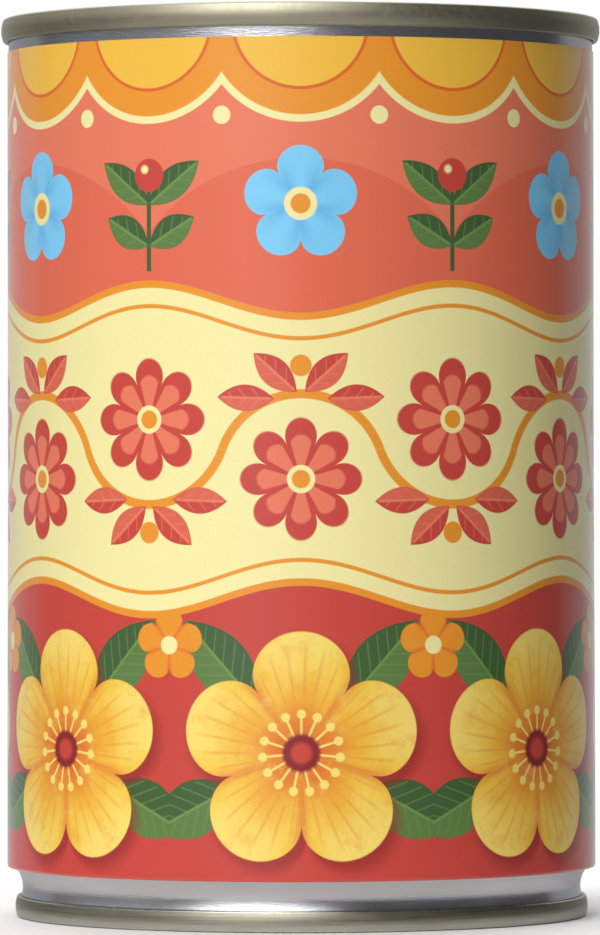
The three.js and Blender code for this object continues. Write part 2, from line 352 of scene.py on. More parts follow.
def even_turn(steps):
    return np.linspace(0, 2 * math.pi, steps, endpoint=False)


def piece(name, vertices, faces, finishes, face_finishes=None):
    """A mesh object from vertices in millimetres, with its faces pointing out and smooth shading."""
    mesh = bpy.data.meshes.new(name)
    mesh.from_pydata([tuple(v) for v in np.asarray(vertices) * MM], [], faces)
    for finish in finishes:
        mesh.materials.append(finish)
    if face_finishes is not None:
        mesh.polygons.foreach_set("material_index", face_finishes)
    editable = bmesh.new()
    editable.from_mesh(mesh)
    bmesh.ops.recalc_face_normals(editable, faces=editable.faces)
    editable.to_mesh(mesh)
    editable.free()
    mesh.shade_smooth()
    mesh.set_sharp_from_angle(angle=SMOOTH_ANGLE)
    made = bpy.data.objects.new(name, mesh)
    bpy.context.scene.collection.objects.link(made)
    return made


def dress(made, node):
    """The piece stands for a node of the can: it rides on the root body, and the node's own part is
    hidden.
    """
    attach(made, "root")
    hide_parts(node)


def smoothstep(value, low, high):
    share = np.clip((value - low) / (high - low), 0, 1)
    return share * share * (3 - 2 * share)


def can_body(finish):
    outer, inner = sheet_faces(rounded(body_corners(), BODY_SPACING), BODY_PLATE)
    outline = np.vstack([outer, inner[::-1]])
    half_widths = np.linspace(-WELD_REACH, WELD_REACH, WELD_STEPS + 1)
    weld = half_widths * WELD_HALF_WIDTH / BODY_RADIUS + math.pi
    even = even_turn(TURN_STEPS)
    angles = np.sort(np.append(even[np.abs(even - math.pi) > weld[-1] - math.pi], weld))
    vertices, faces = turned(outline, angles)
    across = np.arctan2(vertices[:, 0], vertices[:, 1]) * BODY_RADIUS / WELD_HALF_WIDTH
    raised = WELD_HEIGHT * (1 - smoothstep(np.abs(across), *WELD_EDGE))
    vertices[:, :2] *= (1 + raised / np.linalg.norm(vertices[:, :2], axis=1))[:, None]
    dress(piece("body_shell", vertices, faces, [finish]), "can_body")


def top_end(finish):
    upper, under = sheet_faces(rounded(lid_corners(), LID_SPACING), END_PLATE)
    score = np.abs(upper[:, 0] - SCORE_RADIUS) < SCORE_HALF_WIDTH / 2
    upper[score & (upper[:, 1] < CAN_HEIGHT - LID_PANEL_DEPTH / 2), 1] -= SCORE_DEPTH
    vertices, faces = turned(np.vstack([upper, under[::-1]]), even_turn(TURN_STEPS))
    away = np.hypot(vertices[:, 0], vertices[:, 1] - WELL_Y) / WELL_RADIUS
    vertices[:, 2] -= WELL_DEPTH * np.clip(1 - away**2, 0, 1) ** 2
    dress(piece("lid_sheet", vertices, faces, [finish]), "top_end")


def base_end(finish):
    upper, under = sheet_faces(rounded(base_corners(), BASE_SPACING), END_PLATE)
    vertices, faces = turned(np.vstack([upper, under[::-1]]), even_turn(TURN_STEPS))
    vertices[:, 2] = CAN_HEIGHT - vertices[:, 2]
    vertices[:, 1] *= -1
    dress(piece("base_sheet", vertices, faces, [finish]), "base_end")


# The ring-pull is a plate with holes, whose curled edges rise to a round rim

def inner_loop(edge, inset):
    """Points round a plate at a distance from its edge, each abreast of one of the edge's even points."""
    rings = [np.vstack([loop, loop[:1]]) for loop in (edge.loop(0), edge.loop(inset))]
    run = np.append(0, np.cumsum(np.linalg.norm(np.diff(rings[0], axis=0), axis=1)))
    at = np.linspace(0, run[-1], math.ceil(run[-1] / PLATE_SPACING), endpoint=False)
    return np.column_stack([np.interp(at, run, rings[1][:, i]) for i in (0, 1)])


def arc(x, y, radius, start, end):
    """Points along a circular arc, with its angles in degrees."""
    turn = np.radians(np.linspace(start, end, ARC_STEPS))
    return np.column_stack([x + radius * np.cos(turn), y + radius * np.sin(turn)])


class Egg:
    """The outside of a plate: two circles on the Y axis and the lines that touch both."""

    def __init__(self, low_y, low_radius, high_y, high_radius):
        self.low = (low_y, low_radius)
        self.high = (high_y, high_radius)
        self.lean = math.asin((low_radius - high_radius) / (high_y - low_y))

    def loop(self, inset):
        lean = math.degrees(self.lean)
        low = arc(0, self.low[0], self.low[1] - inset, 180 - lean, 360 + lean)
        return np.vstack([low, arc(0, self.high[0], self.high[1] - inset, lean, 180 - lean)])

    def depth(self, x, y):
        """How far a point lies inside the edge."""
        x, along = np.abs(x), y - self.low[0]
        slant = x * math.cos(self.lean) + along * math.sin(self.lean)
        climb = along * math.cos(self.lean) - x * math.sin(self.lean)
        span = (self.high[0] - self.low[0]) * math.cos(self.lean)
        low = self.low[1] - np.hypot(x, along)
        high = self.high[1] - np.hypot(x, y - self.high[0])
        return np.where(climb < 0, low, np.where(climb > span, high, self.low[1] - slant))


class Hole:
    """A hole with round corners in a plate; a round hole is all corner."""

    def __init__(self, y, width, length, corner):
        self.y = y
        self.half = (width / 2 - corner, length / 2 - corner)
        self.corner = corner

    def loop(self, inset):
        (half_width, half_length), radius = self.half, self.corner + inset
        sides = [(1, 1, 0), (-1, 1, 90), (-1, -1, 180), (1, -1, 270)]
        return np.vstack([
            arc(sx * half_width, self.y + sy * half_length, radius, start, start + 90)
            for sx, sy, start in sides
        ])

    def depth(self, x, y):
        """How far a point of the plate lies from the hole."""
        over = np.maximum(np.abs(x) - self.half[0], 0)
        beyond = np.maximum(np.abs(y - self.y) - self.half[1], 0)
        return np.hypot(over, beyond) - self.corner


def curled_plate(edges, insets, upper, under):
    """Vertices and faces of a plate. Its two faces follow heights given for the distance from the
    nearest edge, and meet along every edge. A triangle with all its corners on edges lies in a hole."""
    def depth(points):
        return np.min([edge.depth(points[:, 0], points[:, 1]) for edge in edges], axis=0)

    points = np.empty((0, 2))
    borders = []
    for edge in edges:
        for inset in insets:
            loop = inner_loop(edge, inset)
            if inset == 0:
                first = len(points)
                count = len(loop)
                borders += [(first + i, first + (i + 1) % count) for i in range(count)]
            points = np.vstack([points, loop if inset == 0 else loop[depth(loop) > inset - EDGE_SLACK]])
    places, _, triangles, *_ = delaunay_2d_cdt([Vector(p) for p in points], borders, [], 0, TINY)
    flat = np.array([tuple(p) for p in places])
    deep = np.maximum(depth(flat), 0)
    on_edge = deep < EDGE_SLACK
    triangles = [t for t in triangles if not on_edge[list(t)].all()]
    level = (upper(0 * deep) + under(0 * deep)) / 2
    top = np.column_stack([flat, np.where(on_edge, level, upper(deep))])
    bottom = np.column_stack([flat, np.where(on_edge, level, under(deep))])
    below = np.where(on_edge, np.arange(len(flat)), np.arange(len(flat)) + len(flat))
    faces = [tuple(t) for t in triangles] + [tuple(int(below[i]) for i in reversed(t)) for t in triangles]
    return np.vstack([top, bottom]), faces


def rim_height(deep, radius):
    """How far a round rim stands from its middle, at a depth inside its edge."""
    return np.sqrt(np.maximum(radius**2 - np.maximum(radius - deep, 0) ** 2, 0))


def rim_insets(radius, steps):
    """Depths inside the edge at even steps round a rim, up to its crest."""
    return radius * (1 - np.cos(np.linspace(0, math.pi / 2, steps + 1)))


def pull_tab(finish):
    ring_y = TAB_LOW[1] + RING_RADIUS
    middle = (TAB_LOW[2] + TAB_HIGH[2]) / 2
    radius = (TAB_HIGH[2] - TAB_LOW[2]) / 2
    edges = [
        Egg(ring_y, RING_RADIUS, TAB_HIGH[1] - NOSE_RADIUS, NOSE_RADIUS),
        Hole(ring_y, 2 * FINGER_HOLE_RADIUS, 2 * FINGER_HOLE_RADIUS, FINGER_HOLE_RADIUS),
        Hole(RIVET_Y, WINDOW_WIDTH, WINDOW_LENGTH, WINDOW_CORNER),
    ]

    def upper(deep):
        sunk = smoothstep(deep, *TAB_WEB_FROM)
        return middle + rim_height(deep, radius) * (1 - sunk) + TAB_WEB_TOP * sunk

    def under(deep):
        return middle - rim_height(deep, radius)

    insets = [*rim_insets(radius, TAB_RIM_STEPS), *TAB_INSETS]
    vertices, faces = curled_plate(edges, insets, upper, under)
    dress(piece("ring_pull", vertices, faces, [finish]), "pull_tab")


def tab_tongue(finish):
    """The thin tongue that joins the ring-pull's nose to the rivet."""
    half = TONGUE_WIDTH / 2
    hole = 2 * (RIVET_RADIUS + RIVET_GAP)
    edges = [
        Egg(RIVET_Y, half, RIVET_Y + TONGUE_REACH, half),
        Hole(RIVET_Y, hole, hole, hole / 2),
    ]
    radius = TONGUE_PLATE / 2

    def upper(deep):
        return TONGUE_MIDDLE + rim_height(deep, radius)

    def under(deep):
        return TONGUE_MIDDLE - rim_height(deep, radius)

    insets = [*rim_insets(radius, TONGUE_RIM_STEPS), *TONGUE_INSETS]
    vertices, faces = curled_plate(edges, insets, upper, under)
    tongue = piece("ring_pull_tongue", vertices, faces, [finish])
    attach(tongue, "root")


def lid_rivet(finish):
    """The rivet is drawn up from the lid and spread over the tongue, with a dimple in its head."""
    root = lid_level(LID_CENTRE_DEPTH)
    shoulder = TAB_LOW[2] - RIVET_GAP
    head = TONGUE_MIDDLE + TONGUE_PLATE / 2 + RIVET_GAP
    top = head + RIVET_HEAD_HEIGHT
    dimple = top - RIVET_HEAD_HEIGHT / 2
    corners = [
        (0, root, 0),
        (RIVET_SHOULDER_RADIUS + RIVET_SHOULDER_SPREAD, root, RIVET_BEND),
        (RIVET_SHOULDER_RADIUS, shoulder, RIVET_SHOULDER_BEND),
        (RIVET_RADIUS, shoulder, RIVET_BEND),
        (RIVET_RADIUS, head, RIVET_BEND),
        (RIVET_HEAD_RADIUS, head, RIVET_HEAD_BENDS[0]),
        (RIVET_HEAD_RADIUS - RIVET_HEAD_DRAFT, top, RIVET_HEAD_BENDS[1]),
        (RIVET_RADIUS, top, RIVET_DIMPLE_BEND),
        (RIVET_RADIUS / 2, dimple, RIVET_DIMPLE_BEND),
        (0, dimple, 0),
    ]
    vertices, faces = turned(rounded(corners, RIVET_SPACING), even_turn(RIVET_STEPS))
    vertices[:, 1] += RIVET_Y
    rivet = piece("lid_rivet", vertices, faces, [finish])
    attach(rivet, "root")


# The label is one closed sheet, wound once round the can and lapped over itself

def label_radius(angle, height):
    """Radius of the label's outside: flared over the neck, turned in below and slightly cockled."""
    flare = LABEL_FLARE * (1 - smoothstep(height, LABEL_FLARE_TO, LABEL_FLARE_FROM))
    edge = np.clip(1 - (height - LABEL_BOTTOM) / LABEL_TURN_HEIGHT, 0, 1)
    cockle = sum(share * np.sin(number * angle + height / lean) for share, number, lean in COCKLE_WAVES)
    return LABEL_RADIUS + flare - LABEL_TURN_IN * edge**2 + COCKLE * cockle


def paper_label(printed, bare):
    lap = math.radians(LAP_HALF_ANGLE)
    ramp = math.radians(LAP_RAMP_ANGLE)
    angles = np.linspace(math.pi - lap, 3 * math.pi + lap, LABEL_STEPS + 1)
    rows = np.concatenate([
        np.linspace(LABEL_BOTTOM, LABEL_BOTTOM + LABEL_TURN_HEIGHT, LABEL_TURN_ROWS),
        np.linspace(LABEL_BOTTOM + LABEL_TURN_HEIGHT, LABEL_TOP, LABEL_ROWS)[1:],
    ])
    angle, height = np.meshgrid(angles, rows, indexing="ij")
    lifted = (PAPER + PASTE) * smoothstep(angle, 3 * math.pi - lap - ramp, 3 * math.pi - lap)
    outside = label_radius(angle, height) + lifted

    def face(radius):
        return np.stack([radius * np.sin(angle), -radius * np.cos(angle), height], axis=-1).reshape(-1, 3)

    columns, count = angle.shape
    outer = np.arange(columns * count).reshape(columns, count)
    inner = outer + columns * count

    def strips(a, b):
        """Quads between two rows of vertices."""
        return list(zip(a[:-1], a[1:], b[1:], b[:-1]))

    sheet = [quad for i in range(columns - 1) for quad in strips(outer[i], outer[i + 1])]
    back = [quad for i in range(columns - 1) for quad in strips(inner[i + 1], inner[i])]
    sides = [strips(outer[i], inner[i]) for i in (0, -1)]
    ends = [strips(outer[:, j], inner[:, j]) for j in (0, -1)]
    rims = sum(sides + ends, [])
    faces = [tuple(int(v) for v in quad) for quad in sheet + back + rims]
    kinds = [0] * len(sheet) + [1] * (len(back) + len(rims))
    vertices = np.vstack([face(outside), face(outside - PAPER)])
    label = piece("wrapped_label", vertices, faces, [printed, bare], kinds)
    dress(label, "paper_label")


# Materials are built from fields, numbers that vary over a surface

class Field:
    """A number or colour that varies over a surface; sums and products of fields make new ones."""

    def __init__(self, graph, socket):
        self.graph = graph
        self.socket = socket

    def __add__(self, other):
        return self.graph.math("ADD", self, other)

    def __sub__(self, other):
        return self.graph.math("SUBTRACT", self, other)

    def __rsub__(self, other):
        return self.graph.math("SUBTRACT", other, self)

    def __mul__(self, other):
        return self.graph.math("MULTIPLY", self, other)

    def __truediv__(self, other):
        return self.graph.math("DIVIDE", self, other)

    def __neg__(self):
        return self * -1

    def __abs__(self):
        return self.graph.math("ABSOLUTE", self)

    __radd__ = __add__
    __rmul__ = __mul__

    def sine(self):
        return self.graph.math("SINE", self)

    def cosine(self):
        return self.graph.math("COSINE", self)

    def power(self, exponent):
        return self.graph.math("POWER", self, exponent)

    def wrapped(self, period):
        """Repeats over a period, from minus half of it to half."""
        return self.graph.math("WRAP", self, period / 2, -period / 2)

    def rise(self, low, high, start=0, end=1):
        """Goes smoothly from start to end as this field goes from low to high."""
        sockets = {0: self, 1: low, 2: high, 3: start, 4: end}
        made = self.graph.node("ShaderNodeMapRange", sockets, interpolation_type="SMOOTHSTEP")
        return Field(self.graph, made.outputs[0])

    def under(self, limit, soft=0.07):
        """1 where this field is below a limit, 0 above, with a soft edge."""
        return self.rise(limit - soft, limit + soft, 1, 0)

    def over(self, limit, soft=0.07):
        """1 where this field is above a limit, 0 below, with a soft edge."""
        return self.rise(limit - soft, limit + soft)


class Graph:
    """The nodes of one material or world, joined as they are made."""

    def __init__(self, tree):
        self.tree = tree
        tree.nodes.clear()

    def node(self, kind, inputs=None, **settings):
        made = self.tree.nodes.new(kind)
        for name, value in settings.items():
            setattr(made, name, value)
        for socket, value in (inputs or {}).items():
            self.feed(made.inputs[socket], value)
        return made

    def feed(self, socket, value):
        if isinstance(value, Field):
            self.tree.links.new(value.socket, socket)
        else:
            socket.default_value = value

    def math(self, operation, *values):
        made = self.node("ShaderNodeMath", dict(enumerate(values)), operation=operation)
        return Field(self, made.outputs[0])

    def hypot(self, x, y):
        return (x * x + y * y).power(0.5)

    def angle(self, x, y):
        """Angle of a point from the direction of +y, towards +x."""
        return self.math("ARCTAN2", x, y)

    def layer(self, below, colour, mask):
        """One colour laid over another where a mask is 1."""
        made = self.node("ShaderNodeMix", {0: mask, 6: below, 7: colour}, data_type="RGBA")
        return Field(self, made.outputs[2])

    def place(self):
        """Position on the object, in millimetres."""
        where = self.node("ShaderNodeTexCoord")
        split = self.node("ShaderNodeSeparateXYZ", {0: Field(self, where.outputs["Object"])})
        return [Field(self, output) / MM for output in split.outputs]

    def noise(self, x, y, z, detail=3, roughness=0.5):
        """Seamless noise from 0 to 1 over a place; its grain is about 1 unit."""
        where = self.node("ShaderNodeCombineXYZ", {0: x, 1: y, 2: z})
        settings = {
            "Vector": Field(self, where.outputs[0]),
            "Scale": 1.0,
            "Detail": detail,
            "Roughness": roughness,
        }
        return Field(self, self.node("ShaderNodeTexNoise", settings).outputs[0])

    def bump(self, height, depth, strength=1):
        """Normals from a height field, with its depth in millimetres."""
        inputs = {"Strength": strength, "Distance": depth * MM, "Height": height}
        return Field(self, self.node("ShaderNodeBump", inputs).outputs[0])


def ink(red, green, blue):
    """A colour from its sRGB bytes."""
    def linear(value):
        share = value / 255
        return share / 12.92 if share <= 0.04045 else ((share + 0.055) / 1.055) ** 2.4

    return (linear(red), linear(green), linear(blue), 1)


def material(name, build):
    """A material whose nodes are made by a function that returns the shader's inputs."""
    made = bpy.data.materials.new(name)
    made.use_nodes = True
    graph = Graph(made.node_tree)
    shader = graph.node("ShaderNodeBsdfPrincipled", build(graph))
    output = graph.node("ShaderNodeOutputMaterial")
    made.node_tree.links.new(shader.outputs[0], output.inputs[0])
    return made


def radial_tangent(graph):
    """The direction round the can, which the metal's rolling marks follow."""
    made = graph.node("ShaderNodeTangent", direction_type="RADIAL", axis="Z")
    return Field(graph, made.outputs[0])


def tinplate(graph):
    """Bright tinned steel with fine rolling streaks that run round the can, with painted shade darkening
    the neck.
    """
    x, y, z = graph.place()
    streaks = graph.noise(x / 1.2, y / 1.2, z * 6, detail=2, roughness=0.5)
    broad = graph.noise(x / 9, y / 9, z / 2.5)
    bare = graph.layer(ink(213, 214, 219), ink(222, 223, 227), streaks.rise(0.3, 0.7))
    bare = graph.layer(bare, ink(205, 207, 214), broad.rise(0.45, 0.8) * 0.5)
    # Painted shade: the neck's colour is darkened to stand in for the dimmer light it reflects under the
    # label
    neck_painted_shade = z.over(NECK_START + 0.4, 0.5) * z.under(CAN_HEIGHT / 2)
    relief = z.under(NECK_START + 0.7, 0.5) * 0.5 + z.over(CAN_HEIGHT / 2)
    return {
        "Base Color": graph.layer(bare, ink(197, 195, 196), neck_painted_shade),
        "Metallic": 1,
        "Specular Tint": ink(203, 203, 205),
        "Roughness": broad.rise(0.25, 0.75, 0.18, 0.26),
        "Anisotropic": 0.7,
        "Anisotropic Rotation": 0.25,
        "Tangent": radial_tangent(graph),
        "Normal": graph.bump(streaks, 0.024, relief),
    }


def lacquered_plate(graph):
    """Steel under a thin gold-grey lacquer, duller on the lid than on the base, worn brighter on the lid
    seam's crown, with painted light from below on the base seam's lower part and a painted highlight
    along the base seam's upper edge."""
    x, y, z = graph.place()
    streaks = graph.noise(x / 10, y / 10, z * 4, detail=4, roughness=0.6)
    mottle = graph.noise(x * 1.6, y * 1.6, z * 1.6, detail=4)
    clouds = graph.noise(x / 7, y / 7, z / 7)
    lid = z.over(CAN_HEIGHT / 2)
    lacquer = graph.layer(ink(134, 131, 116), ink(170, 164, 141), lid)
    lacquer = graph.layer(lacquer, ink(186, 180, 160), streaks.rise(0.3, 0.7) * 0.4)
    lacquer = graph.layer(lacquer, ink(148, 142, 120), clouds.rise(0.4, 0.75) * 0.2)
    # The lid seam's crown is lighter with wear; the base seam's lower part is lightened as painted light
    # bounced up from the floor
    crown_wear_and_bounce_light = z.over(CAN_HEIGHT - 0.12, 0.1) + z.under(0.8, 0.7) * 0.7
    # Painted highlight: a bright line along the base seam's upper edge, which is also made less rough
    shoulder = abs(z - (BASE_SEAM_HEIGHT - 0.08)).under(0.13, 0.06)
    wear_and_painted_light = crown_wear_and_bounce_light * mottle.rise(0.2, 0.6, 0.85, 1) + shoulder
    return {
        "Base Color": graph.layer(lacquer, ink(216, 214, 206), wear_and_painted_light * 0.8),
        "Metallic": 1,
        "Specular Tint": graph.layer(ink(188, 188, 188), ink(236, 236, 236), lid),
        "Roughness": mottle.rise(0.25, 0.75, 0.36, 0.44) + lid * 0.07 - shoulder * 0.16,
        "Coat Weight": 0.3,
        "Coat Roughness": 0.25,
        "Normal": graph.bump(mottle * 0.6 + streaks * 0.4, 0.006),
    }


def tab_plate(graph):
    """Bright lacquered steel of the ring-pull, with drawing marks and light scuffs."""
    x, y, z = graph.place()
    marks = graph.noise(x * 3, y / 3, z, detail=3, roughness=0.5)
    scuffs = graph.noise(x * 1.3 + y * 1.3, x * 9 - y * 9, z, detail=2)
    steel = graph.layer(ink(184, 180, 166), ink(202, 199, 188), marks.rise(0.3, 0.7))
    return {
        "Base Color": graph.layer(steel, ink(216, 214, 206), scuffs.rise(0.66, 0.74) * 0.5),
        "Metallic": 1,
        "Roughness": marks.rise(0.25, 0.75, 0.2, 0.34),
        "Coat Weight": 0.25,
        "Coat Roughness": 0.2,
        "Normal": graph.bump(marks, 0.0012),
    }


def bare_paper(graph):
    """The uncoated back and cut edges of the label's paper."""
    x, y, z = graph.place()
    fibres = graph.noise(x * 6, y * 6, z * 6, detail=5, roughness=0.7)
    return {
        "Base Color": graph.layer(ink(226, 219, 205), ink(246, 242, 232), fibres.rise(0.3, 0.7)),
        "Roughness": fibres.rise(0.3, 0.7, 0.75, 0.95),
        "Normal": graph.bump(fibres, 0.02),
    }


def syrup(graph):
    """Fruit in amber syrup, sealed inside the can."""
    x, y, z = graph.place()
    lumps = graph.noise(x / 16, y / 16, z / 16, detail=2)
    return {
        "Base Color": graph.layer(ink(214, 128, 36), ink(240, 176, 84), lumps.rise(0.35, 0.65)),
        "Roughness": lumps.rise(0.3, 0.7, 0.12, 0.3),
        "Normal": graph.bump(lumps, 0.5),
    }


def pale_floor(graph):
    """A matt pale studio floor, which fades out into the backdrop."""
    x, y, z = graph.place()
    grain = graph.noise(x * 2, y * 2, z, detail=5)
    return {
        "Base Color": graph.layer(ink(228, 228, 229), ink(232, 232, 232), grain.rise(0.3, 0.7)),
        "Roughness": grain.rise(0.3, 0.7, 0.6, 0.75),
        "Alpha": graph.hypot(x, y).rise(*FLOOR_FADE, 1, 0) * z.over(-FLOOR_THICKNESS / 2),
        "Normal": graph.bump(grain, 0.01),
    }


# The print: flowers, leaves and waves that repeat a whole number of times round the can

CORAL = ink(236, 124, 94)
DEEP_CORAL = ink(229, 108, 80)
RED = ink(203, 70, 60)
SHADE_RED = ink(140, 34, 36)
ORANGE = ink(238, 152, 42)
ORANGE_RED = ink(226, 104, 44)
YELLOW = ink(248, 204, 72)
PALE_YELLOW = ink(253, 226, 120)
CREAM = ink(248, 238, 168)
SKY = ink(128, 208, 248)
DEEP_SKY = ink(92, 178, 232)
LEAF = ink(62, 96, 52)
LEAF_LIGHT = ink(112, 148, 76)

LABEL_HEIGHT = LABEL_TOP - LABEL_BOTTOM
LABEL_TURN = 2 * math.pi * LABEL_RADIUS

# Heights are above the label's lower edge. A leaf has the angle of its stalk from upright, its place
# beside and above the middle of what it grows from, its length and its half width
GROUND_FADE = (90, 60)
HILLS = 6
HILL_MIDDLE = 62
HILL_RADIUS = 25
SCALLOPS = 12
SCALLOP_RADIUS = 11.4
SCALLOP_MIDDLE = LABEL_HEIGHT + 2
SCALLOP_LINE = 0.9
SCALLOP_CORE_RADIUS = SCALLOP_RADIUS * 0.72
SCALLOP_CORE_LINE = 0.4
POINT_DOT = 1.1
FLOWER_PETALS = 5
PETAL_NOTCH = 0.58
LEAF_VEIN_STEP = 1.7
LEAF_VEIN_LEAN = 0.9
SKY_FLOWERS = 6
SKY_FLOWER_HEIGHT = 81.5
SKY_FLOWER_REACH = 7
SKY_HEART = 2
SKY_HEART_CORE = 1.2
SPRIG_LEAVES = ((52, 0, 0, 8.5, 1.9), (60, 0, -5, 7, 1.9))
STALK_WIDTH = 0.6
STALK_MIDDLE = -3
STALK_LENGTH = 10
BERRY_LIFT = 3.6
BERRY_RADIUS = 2
GLINT_ASIDE = -0.6
GLINT_LIFT = 4.3
GLINT_RADIUS = 0.5
BAND_LOW = 34.5
BAND_HIGH = 69.5
BAND_WAVES = 6
BAND_SWING = 2
BAND_BORDER = 0.9
BAND_LINE_INSET = 2.2
BAND_LINE_WIDTH = 0.5
VINE_ARCHES = 12
VINE_WIDTH = 1.1
VINE_LEAVES = ((48, 0.5, 0.2, 7, 1.7), (88, 3.2, -0.6, 7, 1.6))
BUD_LIFT = 3.4
BUD_RADIUS = 1.3
ROSETTE_DROP = 3.6
ROSETTE_REACH = 7.4
ROSETTE_PETALS = 8
ROSETTE_HEART = 1.7
ROSETTE_CORE = 1.1
GREAT_FLOWERS = 7
GREAT_FLOWER_HEIGHT = 15.5
GREAT_FLOWER_REACH = 14.6
GREAT_LEAVES = ((42, 5, 5.5, 14, 3.4), (118, 8, -4, 12, 3.4))
GREAT_HEART = 2.3
SHADOW_ASIDE = 0.7
SHADOW_DROP = 1.1
PETAL_VEINS = 35
STAMENS = 15
STAMEN_REACH = 4.7
STAMEN_WIDTH = 0.28
STAMEN_TIP = 0.55
SMALL_FLOWER_HEIGHT = 28.4
SMALL_FLOWER_REACH = 4.4
SMALL_FLOWER_HEART = 1.1


def flower(graph, x, y, reach, petals):
    """How far out a point is as a share of the petals' outline, and how near to a petal's middle line."""
    fold = abs((graph.angle(x, y) * (petals / 2)).cosine())
    edge = fold.power(0.5) * ((1 - PETAL_NOTCH) * reach) + PETAL_NOTCH * reach
    return graph.hypot(x, y) / edge, fold


def turn_to(x, y, angle):
    """Coordinates along and across a direction, given as an angle from +y towards +x, in degrees."""
    sine, cosine = math.sin(math.radians(angle)), math.cos(math.radians(angle))
    return x * sine + y * cosine, x * cosine - y * sine


def leaf(graph, colour, x, y, form, shades):
    """A pointed leaf from its stalk, with one half in light, a midrib and side veins."""
    angle, sideways, lift, length, half_width = form
    dark, light = shades
    along, across = turn_to(x - sideways, y - lift, angle)
    share = along / length
    room = share * (1 - share) * (4 * half_width) - abs(across)
    colour = graph.layer(colour, dark, room.over(0))
    colour = graph.layer(colour, light, room.over(0) * across.over(0, 0.3) * 0.55)
    vein = abs((along - abs(across) * LEAF_VEIN_LEAN).wrapped(LEAF_VEIN_STEP))
    return graph.layer(colour, light, room.over(0.3) * (vein.under(0.12) * 0.5 + abs(across).under(0.16)))


def hills(graph, colour, around, up):
    """Broad round hills in a deeper shade of the ground, behind the row of flowers."""
    across = around.wrapped(LABEL_TURN / HILLS)
    away = graph.hypot(across, up - HILL_MIDDLE)
    return graph.layer(colour, DEEP_CORAL, away.under(HILL_RADIUS))


def scallops(graph, colour, around, up):
    """Scallops along the top edge, with a line round each and a dot under each point."""
    step = LABEL_TURN / SCALLOPS
    away = graph.hypot(around.wrapped(step), up - SCALLOP_MIDDLE)
    colour = graph.layer(colour, CREAM, away.under(SCALLOP_RADIUS + SCALLOP_LINE))
    colour = graph.layer(colour, ORANGE, away.under(SCALLOP_RADIUS))
    colour = graph.layer(colour, YELLOW, away.under(SCALLOP_CORE_RADIUS) * 0.75)
    line = abs(away - SCALLOP_CORE_RADIUS).under(SCALLOP_CORE_LINE / 2)
    colour = graph.layer(colour, ORANGE_RED, line)
    dot = graph.hypot((around + step / 2).wrapped(step), up - (SCALLOP_MIDDLE - SCALLOP_RADIUS))
    return graph.layer(colour, CREAM, dot.under(POINT_DOT))


def sky_flowers(graph, colour, around, up):
    """A row of blue flowers, with a sprig of leaves and a berry between them."""
    step = LABEL_TURN / SKY_FLOWERS
    x, y = around.wrapped(step), up - SKY_FLOWER_HEIGHT
    between = (around + step / 2).wrapped(step)
    beside = abs(between)
    stalk = beside.under(STALK_WIDTH / 2) * abs(y - STALK_MIDDLE).under(STALK_LENGTH / 2)
    colour = graph.layer(colour, LEAF, stalk)
    for form in SPRIG_LEAVES:
        colour = leaf(graph, colour, beside, y, form, (LEAF, LEAF_LIGHT))
    colour = graph.layer(colour, RED, graph.hypot(between, y - BERRY_LIFT).under(BERRY_RADIUS))
    glint = graph.hypot(between - GLINT_ASIDE, y - GLINT_LIFT)
    colour = graph.layer(colour, CREAM, glint.under(GLINT_RADIUS, 0.2))
    share, fold = flower(graph, x, y, SKY_FLOWER_REACH, FLOWER_PETALS)
    colour = graph.layer(colour, SKY, share.under(1, 0.015))
    inner = share.under(0.8, 0.35) * 0.7
    colour = graph.layer(colour, DEEP_SKY, share.under(1, 0.015) * inner * fold.under(0.6, 0.5))
    away = graph.hypot(x, y)
    colour = graph.layer(colour, CREAM, away.under(SKY_HEART))
    return graph.layer(colour, ORANGE, away.under(SKY_HEART_CORE))


def great_flowers(graph, colour, around, up):
    """Large shaded flowers along the foot of the label, with leaves behind them."""
    step = LABEL_TURN / GREAT_FLOWERS
    x, y = around.wrapped(step), up - GREAT_FLOWER_HEIGHT
    for form in GREAT_LEAVES:
        colour = leaf(graph, colour, abs(x), y, form, (LEAF, LEAF_LIGHT))
    shadow, _ = flower(graph, x - SHADOW_ASIDE, y + SHADOW_DROP, GREAT_FLOWER_REACH, FLOWER_PETALS)
    colour = graph.layer(colour, SHADE_RED, shadow.under(1.02, 0.09) * 0.65)
    share, fold = flower(graph, x, y, GREAT_FLOWER_REACH, FLOWER_PETALS)
    petals = graph.layer(YELLOW, PALE_YELLOW, share.rise(0.5, 0.95) * fold.rise(0.3, 0.9) * 0.8)
    petals = graph.layer(petals, ORANGE, share.rise(0.15, 0.8, 1, 0))
    petals = graph.layer(petals, ORANGE_RED, share.rise(0.1, 0.5, 0.9, 0))
    petals = graph.layer(petals, ORANGE_RED, fold.rise(0, 0.4, 0.6, 0) * share.rise(0.2, 0.5))
    turn = graph.angle(x, y)
    lines = (turn * PETAL_VEINS).sine().rise(0.6, 1)
    veins = lines * share.rise(0.3, 0.6) * share.rise(0.75, 0.95, 1, 0)
    petals = graph.layer(petals, ORANGE_RED, veins * 0.28)
    paint = graph.noise(around / 3, up / 3, 0, detail=5, roughness=0.7)
    petals = graph.layer(petals, ORANGE, paint.rise(0.48, 0.7) * 0.4)
    petals = graph.layer(petals, PALE_YELLOW, paint.rise(0.5, 0.3) * 0.3)
    colour = graph.layer(colour, petals, share.under(1, 0.008))
    away = graph.hypot(x, y)
    spoke = turn.wrapped(2 * math.pi / STAMENS) * away
    threads = abs(spoke).under(STAMEN_WIDTH / 2) * away.under(STAMEN_REACH)
    colour = graph.layer(colour, PALE_YELLOW, threads)
    tips = graph.hypot(spoke, away - STAMEN_REACH).under(STAMEN_TIP)
    colour = graph.layer(colour, PALE_YELLOW, tips)
    colour = graph.layer(colour, SHADE_RED, away.under(GREAT_HEART, 0.3))
    return graph.layer(colour, RED, away.under(GREAT_HEART * 0.55, 0.4))


